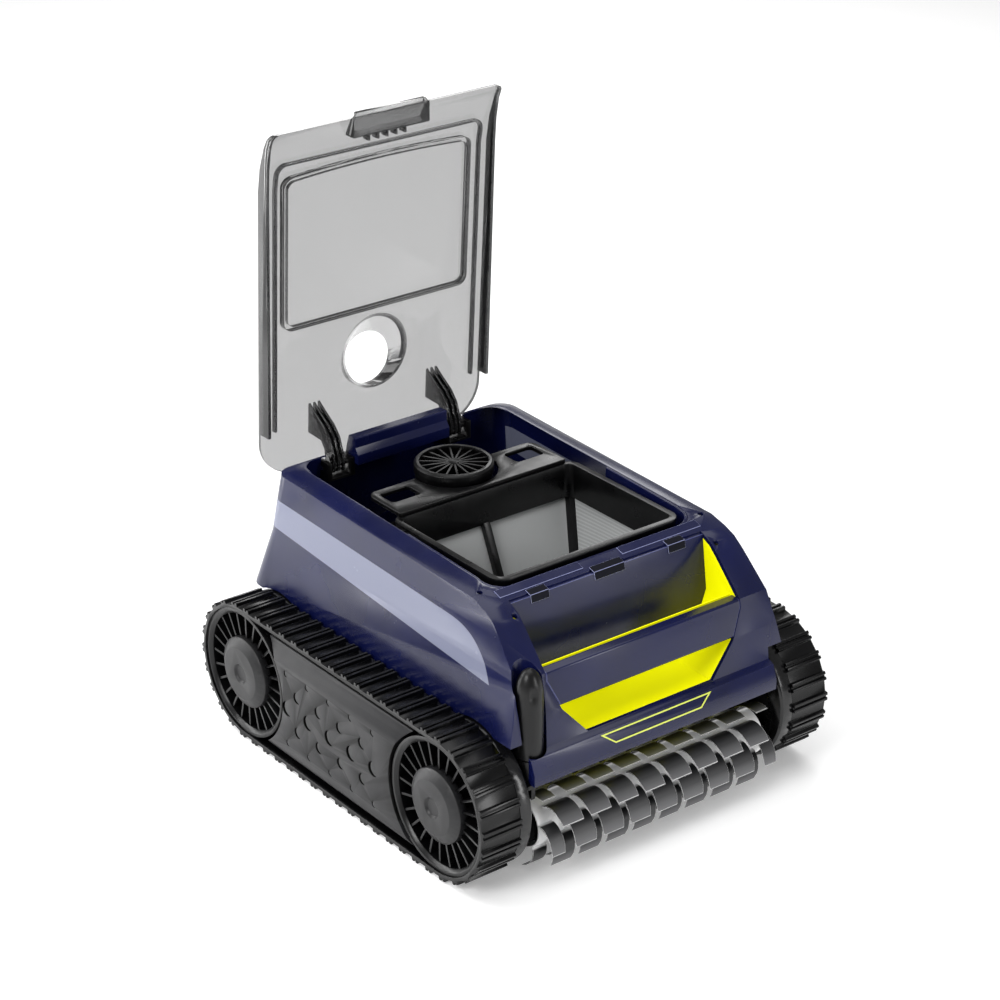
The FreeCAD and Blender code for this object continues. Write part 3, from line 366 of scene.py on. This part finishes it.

# %% [markdown]
# ## Woven filter cloth
#
# The basket is lined with a plain-woven nylon mesh, about half a millimetre from thread to
# thread. Two crossed waves stand for the warp and the weft: they set the tone and a small
# relief, and one fixed value sets how much of the cloth is open.

# %% Nylon mesh
def woven(name, light, dark, pitch_mm, cover):
    """Plain weave of round threads, pitch_mm apart, on object coordinates."""
    material, tree, shader = new_material(name, light, 0.75)
    place = add_node(tree, "ShaderNodeTexCoord")
    bands = []
    for direction in ("X", "Z"):
        bands.append(add_node(tree, "ShaderNodeTexWave",
                              {"wave_type": "BANDS", "bands_direction": direction,
                               "Scale": math.pi / (10 * pitch_mm * MM)},
                              {"Vector": place.outputs["Object"]}))
    weave = add_node(tree, "ShaderNodeMath", {"operation": "MAXIMUM"},
                     {0: bands[0].outputs["Fac"], 1: bands[1].outputs["Fac"]})
    tones = add_node(tree, "ShaderNodeValToRGB", {}, {"Fac": weave.outputs["Value"]})
    tones.color_ramp.elements[0].color = linear(dark)
    tones.color_ramp.elements[1].color = linear(light)
    relief = add_node(tree, "ShaderNodeBump", {"Distance": 0.15 * MM, "Strength": 0.5},
                      {"Height": weave.outputs["Value"]})
    tree.links.new(tones.outputs["Color"], shader.inputs["Base Color"])
    tree.links.new(relief.outputs["Normal"], shader.inputs["Normal"])
    shader.inputs["Alpha"].default_value = cover
    return material


MATERIALS["mesh_cloth"] = woven("nylon_mesh", "#c0c2c2", "#8e9090", 0.8, 0.92)

# %% [markdown]
# ## Rounded mouldings
#
# Every moulded edge has a small radius, and that radius is what catches the light. Each
# visible piece is copied from the engineering model, its loose triangles are merged, flat
# neighbours are joined into one face, and a bevel of half a millimetre or so rounds the
# edges. The copy then stands for its engineering piece.

# %% Rounded copies
SLOT_OF = {row["node"]: row["material_slot"] for row in frame["record"]["subparts"]}
BODY_OF = {name: body for body, names in frame["record"]["behaviour"]["bodies"].items()
           for name in names}
for name, node in frame["nodes"].items():
    node.data.materials.clear()
    node.data.materials.append(MATERIALS[SLOT_OF[name]])


def settle(piece, body, slot_name, stands_for=(), material=None):
    """Link a finished piece, give it its finish, and say what it rides on and stands for."""
    bpy.context.scene.collection.objects.link(piece)
    piece.data.materials.clear()
    piece.data.materials.append(material or MATERIALS[slot_name])
    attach(piece, body)
    if stands_for:
        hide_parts(*stands_for)
    return piece


EDGE_ANGLE = math.radians(28.0)      # edges sharper than this are rounded
MERGE_MM = 0.01
FLAT_ANGLE = math.radians(0.6)       # neighbours this flat become one face


def round_edges(piece, radius_mm, edge_highlight=None):
    """Round a piece's edges, whose bevel faces may take a painted highlight of their own."""
    bevel = piece.modifiers.new("edge radius", "BEVEL")
    bevel.limit_method = "ANGLE"
    bevel.angle_limit = EDGE_ANGLE
    bevel.width = radius_mm * MM
    bevel.segments = 2
    bevel.harden_normals = True
    if edge_highlight:
        piece.data.materials.append(edge_highlight)
        bevel.material = 1
    return piece


def rounded(name, radius_mm, material=None, edge_highlight=None):
    """A merged copy of an engineering piece with its edges rounded."""
    mesh = frame["nodes"][name].data.copy()
    shape = bmesh.new()
    shape.from_mesh(mesh)
    bmesh.ops.remove_doubles(shape, verts=shape.verts, dist=MERGE_MM * MM)
    bmesh.ops.dissolve_limit(shape, angle_limit=FLAT_ANGLE, verts=shape.verts,
                             edges=shape.edges)
    for face in shape.faces:
        face.smooth = True
    shape.to_mesh(mesh)
    shape.free()
    piece = settle(bpy.data.objects.new(name + "_moulded", mesh), BODY_OF[name],
                   SLOT_OF[name], (name,), material)
    return round_edges(piece, radius_mm, edge_highlight)


WHEELS = [end + "_" + side for end in ("front", "rear") for side in ("left", "right")]
EDGE_MM = {"upper_shell": 0.8, "carry_handle": 1.5, "front_wall": 0.5, "filter_bay": 0.8,
           "scoop_liner": 0.5, "side_cover_left": 0.8, "side_cover_right": 0.8,
           "lid_panel": 0.5, "lid_window": 0.5, "lid_grip": 0.4, "lid_seal": 0.8,
           "hinge_arms": 0.3, "basket_frame": 0.8, "basket_handle": 0.4,
           "outlet_grille": 0.5, "badge_outline": 0.15,
           "track_belt_left": 0.6, "track_belt_right": 0.6, "track_frame_left": 0.6,
           "track_frame_right": 0.6, "chassis_tub": 0.6, "hinge_brackets": 0.3}
for wheel in WHEELS:
    EDGE_MM["wheel_" + wheel] = 0.4
    EDGE_MM["hub_cap_" + wheel] = 0.6
    EDGE_MM["drive_ring_" + wheel] = 0.2
FINISH_OF = {"upper_shell": SHELL_WITH_PAINTED_REFLECTION}
for side in ("left", "right"):
    FINISH_OF["side_cover_" + side] = cover_with_painted_crescent_shade()
EDGE_HIGHLIGHT_OF = {name: SHELL_EDGE_HIGHLIGHT for name in ("upper_shell", "carry_handle", "front_wall")}
for name, radius_mm in EDGE_MM.items():
    rounded(name, radius_mm, material=FINISH_OF.get(name), edge_highlight=EDGE_HIGHLIGHT_OF.get(name))
rounded("lid_port", 0.5, material=FUNNEL_SMOKE)
print("rounded", len(EDGE_MM) + 1, "mouldings")

# %% [markdown]
# ## Latch slots and lid ledge
#
# The lid lands on a shallow ledge along the front of the opening, and three slots in the
# ledge's front edge take its latches. They are shallow details, so the ledge is a half
# millimetre plate in two lengths with a gap between them. Nothing is cut for the slots:
# each is a dark insert folded over the edge, painted shade where the slot's hollow would be.
# The bevel faces carry a painted highlight, a lighter colour in place of the lines that
# shine on polished plastic.

# %% Prisms and their edge lines
def prism(profile, x0, x1):
    """A closed prism along X from (y, z) points in millimetres."""
    shape = bmesh.new()
    ends = [[shape.verts.new((x * MM, y * MM, z * MM)) for y, z in profile] for x in (x0, x1)]
    shape.faces.new(ends[0])
    shape.faces.new(list(reversed(ends[1])))
    count = len(profile)
    for i in range(count):
        j = (i + 1) % count
        shape.faces.new((ends[0][j], ends[0][i], ends[1][i], ends[1][j]))
    bmesh.ops.recalc_face_normals(shape, faces=shape.faces)
    return shape


def finished(name, shape, body, slot_name, material, edge_highlight=None, radius_mm=0.3,
             stands_for=()):
    """Turn a bmesh into a piece with rounded edges, whose bevel faces may take a painted
    highlight.
    """
    mesh = bpy.data.meshes.new(name)
    for face in shape.faces:
        face.smooth = True
    shape.to_mesh(mesh)
    shape.free()
    piece = settle(bpy.data.objects.new(name, mesh), body, slot_name, stands_for, material)
    return round_edges(piece, radius_mm, edge_highlight)


# painted highlight: pale navy on the bevel faces of the slots and ledges
EDGE_SHINE = moulded("navy_painted_edge_highlight", ("#7f84ad", "#8f94bc"), (0.2, 0.25), 6.0, 0.005)
# painted shade: near-black navy inserts where the slots' hollows fall in shade
PAINTED_SLOT_SHADE = moulded("navy_painted_slot_shade", ("#03040f", "#060716"), (0.4, 0.5), 2.0, 0.01,
                    **{"Specular IOR Level": 0.1})
for tag, x, half in (("left", -77.0, 10.0), ("middle", 0.0, 17.0), ("right", 77.0, 10.0)):
    fold = [(-132.5, 235.9), (-139.9, 233.7), (-141.6, 226.5), (-140.4, 226.5),
            (-139.2, 232.6), (-132.5, 234.6)]
    finished("latch_slot_shade_" + tag, prism(fold, x - half, x + half), "body", "navy_shell",
             PAINTED_SLOT_SHADE, EDGE_SHINE)
ledge = [(-122.5, 239.0), (-131.5, 236.3), (-131.5, 235.2), (-122.5, 237.9)]
for tag, x0, x1 in (("left", -113.0, -22.0), ("right", 22.0, 113.0)):
    finished("lid_ledge_" + tag, prism(ledge, x0, x1), "body", "navy_shell",
             SHELL_WITH_PAINTED_REFLECTION, EDGE_SHINE, 0.35)

# %% [markdown]
# ## Brush flaps
#
# Each brush is an extruded silicone sleeve with staggered rows of thin flaps. They would be
# moulded flat and take a set, so each flap is a thin curved sheet that bends back near its
# tip. The flap colour follows the distance from the axis and carries painted light: painted
# shade makes it dark near the root, a painted highlight makes it paler at the tip, and the
# sleeve between the rows is nearly white, a painted highlight. The flaps' bevel faces carry
# a near-white painted highlight as well.

# %% Flap finish
BRUSH_Y, BRUSH_Z, CORE_R, TIP_R = 184.0, 46.0, 21.0, 44.3
FLAP_ROWS, FLAP_W, FLAP_T, FLAP_PITCH, BRUSH_HALF = 10, 24.0, 1.5, 30.5, 129.5


def flap_tones_and_painted_light(sign):
    """Silicone whose tone follows the distance from the brush's axis."""
    material = moulded("brush_silicone_" + ("rear" if sign > 0 else "front"),
                       ("#3c3c3e", "#4c4c4e"), (0.35, 0.45), 1.5, 0.02)
    tree = material.node_tree
    shader = tree.nodes["Principled BSDF"]
    place = add_node(tree, "ShaderNodeTexCoord")
    centre = add_node(tree, "ShaderNodeVectorMath", {"operation": "SUBTRACT"},
                      {0: place.outputs["Object"]})
    centre.inputs[1].default_value = (0.0, sign * BRUSH_Y * MM, BRUSH_Z * MM)
    flat = add_node(tree, "ShaderNodeVectorMath", {"operation": "MULTIPLY"},
                    {0: centre.outputs["Vector"]})
    flat.inputs[1].default_value = (0.0, 1.0, 1.0)
    reach = add_node(tree, "ShaderNodeVectorMath", {"operation": "LENGTH"},
                     {0: flat.outputs["Vector"]})
    share = add_node(tree, "ShaderNodeMapRange",
                     {"From Min": CORE_R * MM, "From Max": TIP_R * MM},
                     {"Value": reach.outputs["Value"]})
    tones = add_node(tree, "ShaderNodeValToRGB", {}, {"Fac": share.outputs["Result"]})
    ramp = tones.color_ramp
    # painted light: the near-white sleeve and the pale tips are painted highlights, the dark
    # band near the root is painted shade
    ramp.elements[0].color = linear("#f2f2f2")
    ramp.elements[1].position = 1.0
    ramp.elements[1].color = linear("#707072")
    for position, colour in ((0.12, "#f2f2f2"), (0.2, "#161618"), (0.72, "#2c2c2e")):
        ramp.elements.new(position).color = linear(colour)
    tree.links.new(tones.outputs["Color"], shader.inputs["Base Color"])
    return material


# painted highlight: near white on the flaps' bevel faces, where their tip edges would catch the
# lamps
FLAP_EDGE_HIGHLIGHT = moulded("silicone_lit_edge", ("#e4e4e4", "#f4f4f4"), (0.4, 0.5), 2.0, 0.01)

# %% Flap sheets and sleeve
def brush_shape(sign):
    """The sleeve and its rows of curved flaps, as one bmesh of closed shapes."""
    shape = bmesh.new()
    steps = 7
    for row in range(FLAP_ROWS):
        turn = math.radians(360.0 * row / FLAP_ROWS)
        shift = 0.0 if row % 2 == 0 else FLAP_PITCH / 2
        for column in range(-4, 5 - row % 2):
            x = column * FLAP_PITCH + shift
            half = min(FLAP_W / 2, BRUSH_HALF - abs(x))
            rings = []
            for step in range(steps + 1):
                share = step / steps
                reach = CORE_R + 0.5 + share * (TIP_R - CORE_R - 1.6)
                lag = math.radians(38.0) * share ** 1.7
                thick = FLAP_T / 2 * (1.0 - 0.45 * share)
                narrow = half * (1.0 if share < 0.85 else 1.0 - 0.5 * (share - 0.85))
                angle = turn + lag * (1 if sign < 0 else -1)
                out = Vector((0.0, -math.sin(angle), math.cos(angle)))
                across = Vector((0.0, math.cos(angle), math.sin(angle)))
                axis = Vector((x, sign * BRUSH_Y, BRUSH_Z))
                rings.append([shape.verts.new((axis + out * reach + across * side * thick
                                               + Vector((edge * narrow, 0, 0))) * MM)
                              for edge, side in ((-1, -1), (1, -1), (1, 1), (-1, 1))])
            for low, high in zip(rings, rings[1:]):
                for i in range(4):
                    j = (i + 1) % 4
                    shape.faces.new((low[i], low[j], high[j], high[i]))
            shape.faces.new(list(reversed(rings[0])))
            shape.faces.new(rings[-1])
    sides = 40
    rims = []
    for x, radius in ((-BRUSH_HALF, CORE_R + 0.02), (-BRUSH_HALF, CORE_R + 1.5),
                      (BRUSH_HALF, CORE_R + 1.5), (BRUSH_HALF, CORE_R + 0.02)):
        rims.append([shape.verts.new(Vector((x, sign * BRUSH_Y + radius * math.cos(t),
                                             BRUSH_Z + radius * math.sin(t))) * MM)
                     for t in (2 * math.pi * k / sides for k in range(sides))])
    for low, high in zip(rims, rims[1:] + rims[:1]):
        for i in range(sides):
            j = (i + 1) % sides
            shape.faces.new((low[i], low[j], high[j], high[i]))
    bmesh.ops.recalc_face_normals(shape, faces=shape.faces)
    return shape


for end, sign in (("front", -1), ("rear", 1)):
    finished(end + "_brush_silicone", brush_shape(sign), end + "_brush", "brush_rubber",
             flap_tones_and_painted_light(sign), FLAP_EDGE_HIGHLIGHT, 0.2, (end + "_brush_flaps",))
print("brushes", 2, "with", FLAP_ROWS, "rows each")

# %% [markdown]
# ## Charge cap
#
# The cap is a glossy capsule that pulls off its socket. Its body is turned, so a spin of
# half its outline makes it, and a shallow thumb dimple is then pressed in near the top by
# moving the points that lie near it. The capsule is solid. The engineering piece has a bore
# for the socket, and this one does not, so at rest the socket's pin lies inside it.

# %% Capsule with a thumb dimple
CAP_X, CAP_Y, CAP_R, CAP_LOW, CAP_TOP = -128.5, -191.0, 12.4, 116.4, 199.5


def cap_shape():
    """Half an outline spun round the cap's axis, with the dimple pressed in."""
    dome_start = CAP_TOP - 24.0
    outline = [(0.3, CAP_LOW), (CAP_R - 0.8, CAP_LOW), (CAP_R, CAP_LOW + 0.8)]
    outline += [(CAP_R, CAP_LOW + 0.8 + (dome_start - CAP_LOW) * k / 14) for k in range(1, 14)]
    outline += [(max(CAP_R * math.cos(t), 0.3), dome_start + 24.0 * math.sin(t))
                for t in (math.pi / 2 * k / 14 for k in range(15))]
    shape = bmesh.new()
    points = [shape.verts.new(((CAP_X + r) * MM, CAP_Y * MM, z * MM)) for r, z in outline]
    edges = [shape.edges.new(pair) for pair in zip(points, points[1:])]
    bmesh.ops.spin(shape, geom=points + edges, cent=(CAP_X * MM, CAP_Y * MM, 0),
                   axis=(0, 0, 1), angle=2 * math.pi, steps=48, use_merge=True)
    bmesh.ops.remove_doubles(shape, verts=shape.verts, dist=0.01 * MM)
    bmesh.ops.holes_fill(shape, edges=[e for e in shape.edges if e.is_boundary], sides=0)
    bmesh.ops.recalc_face_normals(shape, faces=shape.faces)
    middle = Vector((CAP_X - 4.5, CAP_Y - CAP_R, CAP_TOP - 21.0)) * MM
    for vert in shape.verts:
        gap = vert.co - middle
        far = math.hypot(math.hypot(gap.x, gap.y) / (4.5 * MM), gap.z / (7.5 * MM))
        if far < 1.0:
            vert.co += Vector((4.5, CAP_R, 0)).normalized() * 2.6 * MM * (1 - far * far)
    return shape


finished("charge_cap_capsule", cap_shape(), "plug_cap", "black_plastic",
         MATERIALS["black_plastic"], None, 0.2, ("charge_cap",))

# %% [markdown]
# ## Filter cloth
#
# The basket's cloth is one strip of nylon mesh, sewn into a tapering ring and welded to the
# posts. It is stretched, yet a little water weight has set it: between the posts it bows
# out by a millimetre or so. It is a thin sheet, given its thickness by a modifier.

# %% Cloth ring
def cloth_ring():
    """Rows of points round the basket's four leaning walls, bowed between the posts."""
    half, front, rear = 103.0, -116.0, 39.5
    lean_side, lean_front, lean_rear = 22.0, 12.0, 40.0
    z_high, z_low, high_band, base = 209.0, 121.5, 242.0 - 34.0, 118.0
    rows, per_side, corner = 14, 24, 0.03
    shape = bmesh.new()
    rings = []
    for row in range(rows + 1):
        z = z_high + (z_low - z_high) * row / rows
        fall = min(max((high_band - z) / (high_band - base), 0.0), 1.0)
        x = half - lean_side * fall
        y0, y1 = front + lean_front * fall, rear - lean_rear * fall
        belly = math.sin(math.pi * row / rows) * 0.9
        corners = [(-x, y0), (x, y0), (x, y1), (-x, y1)]
        bays = (2, 1, 2, 1)
        ring = []
        for (ax, ay), (bx, by), bay in zip(corners, corners[1:] + corners[:1], bays):
            length = math.hypot(bx - ax, by - ay)
            out = ((by - ay) / length, -(bx - ax) / length)
            for k in range(per_side):
                share = corner + (1 - 2 * corner) * k / (per_side - 1)
                bow = -belly * abs(math.sin(math.pi * bay * (share - corner)
                                            / (1 - 2 * corner)))
                ring.append(shape.verts.new(((ax + (bx - ax) * share + out[0] * bow) * MM,
                                             (ay + (by - ay) * share + out[1] * bow) * MM,
                                             z * MM)))
        rings.append(ring)
    for low, high in zip(rings, rings[1:]):
        for i in range(len(low)):
            j = (i + 1) % len(low)
            shape.faces.new((high[i], high[j], low[j], low[i]))
    return shape


cloth_shape = cloth_ring()
cloth_area = sum(face.calc_area() for face in cloth_shape.faces)
cloth_mesh = bpy.data.meshes.new("basket_cloth")
for face in cloth_shape.faces:
    face.smooth = True
cloth_shape.to_mesh(cloth_mesh)
cloth_shape.free()
cloth = settle(bpy.data.objects.new("basket_cloth", cloth_mesh), BODY_OF["basket_mesh"],
               "mesh_cloth", ("basket_mesh",))
thickness = cloth.modifiers.new("cloth thickness", "SOLIDIFY")
thickness.thickness = 0.5 * MM
thickness.offset = 0.0
print("cloth area", round(cloth_area, 4), "m2")
